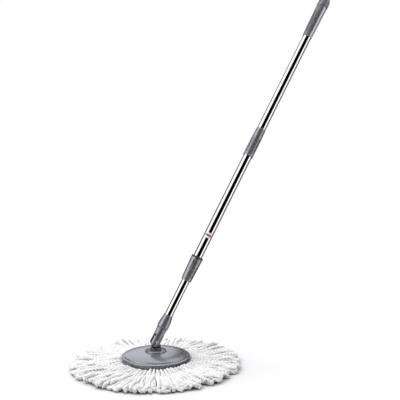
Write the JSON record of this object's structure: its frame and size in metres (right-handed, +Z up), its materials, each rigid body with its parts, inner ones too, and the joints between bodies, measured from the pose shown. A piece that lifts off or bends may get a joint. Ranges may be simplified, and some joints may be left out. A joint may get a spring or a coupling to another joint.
{
  "type": "spin mop",
  "caption": "Hand-press spin mop: telescopic steel handle with a twist lock and spin drive, hinged neck, round plate and looped white yarn.",
  "frame": {"origin": "on the floor under the centre of the mop plate", "axes": "+Z up from the floor; +X is the way the handle leans; Y runs along the neck's hinge pin"},
  "size_m": [0.6552, 0.398, 0.8944],
  "materials": {
    "yarn_white": "soft looped microfibre",
    "band_white": "woven band",
    "plastic_grey": "satin gloss",
    "plastic_dark": "matte",
    "nylon": "matte",
    "tube_chrome": "polished",
    "steel": "drawn",
    "screw_dark": "blackened",
    "label_film": "printed film"
  },
  "bodies": {
    "refill": {"yarn": "yarn_white", "stitch_band": "band_white", "refill_ring": "plastic_grey"},
    "mop_plate": {"disc": "plastic_grey", "hub": "plastic_grey", "hub_screws": "screw_dark"},
    "neck_arm": {"neck": "plastic_grey", "pivot_pin": "steel", "pin_clip": "screw_dark", "thrust_washers": "nylon", "neck_screw": "screw_dark", "tube_plug": "plastic_dark", "ferrule": "plastic_grey", "inner_tube": "tube_chrome", "clutch_seat": "plastic_dark", "clutch_cap": "plastic_dark"},
    "glide": {"glide_ring": "nylon"},
    "handle": {"lower_tube": "tube_chrome", "lock_body": "plastic_dark", "grip_collet": "nylon", "label": "label_film", "mid_sleeve": "plastic_grey", "spiral_rod": "steel", "rod_anchor": "plastic_dark", "anchor_pin": "steel", "joint_plug": "plastic_dark", "upper_tube": "tube_chrome", "grip": "plastic_grey", "hang_cap": "plastic_grey"},
    "nut": {"drive_nut": "steel"},
    "collar": {"lock_collar": "plastic_grey"}
  },
  "joints": [
    {"name": "refill_release", "type": "slide", "parent": "refill", "child": "mop_plate", "axis": [0, 0, 1], "range_m": [0, 0.06]},
    {"name": "neck_tilt", "type": "hinge", "parent": "mop_plate", "child": "neck_arm", "pos_m": [0, 0, 0.0555], "axis": [0, 1, 0], "range_deg": [-108.2, 51.8]},
    {"name": "handle_spin", "type": "hinge", "parent": "neck_arm", "child": "glide", "pos_m": [0, 0, 0.0555], "axis": [0.4726, 0, 0.8813], "continuous": true},
    {"name": "handle_press", "type": "slide", "parent": "glide", "child": "handle", "axis": [0.4726, 0, 0.8813], "range_m": [-0.083, 0.18]},
    {"name": "nut_turn", "type": "hinge", "parent": "glide", "child": "nut", "pos_m": [0, 0, 0.0555], "axis": [0.4726, 0, 0.8813], "continuous": true},
    {"name": "collar_twist", "type": "hinge", "parent": "handle", "child": "collar", "pos_m": [0, 0, 0.0555], "axis": [0.4726, 0, 0.8813], "range_deg": [0, 90]}
  ],
  "couplings": [
    {"joint": "nut_turn", "follows": "handle_press", "rad_per_m": -62.832}
  ]
}
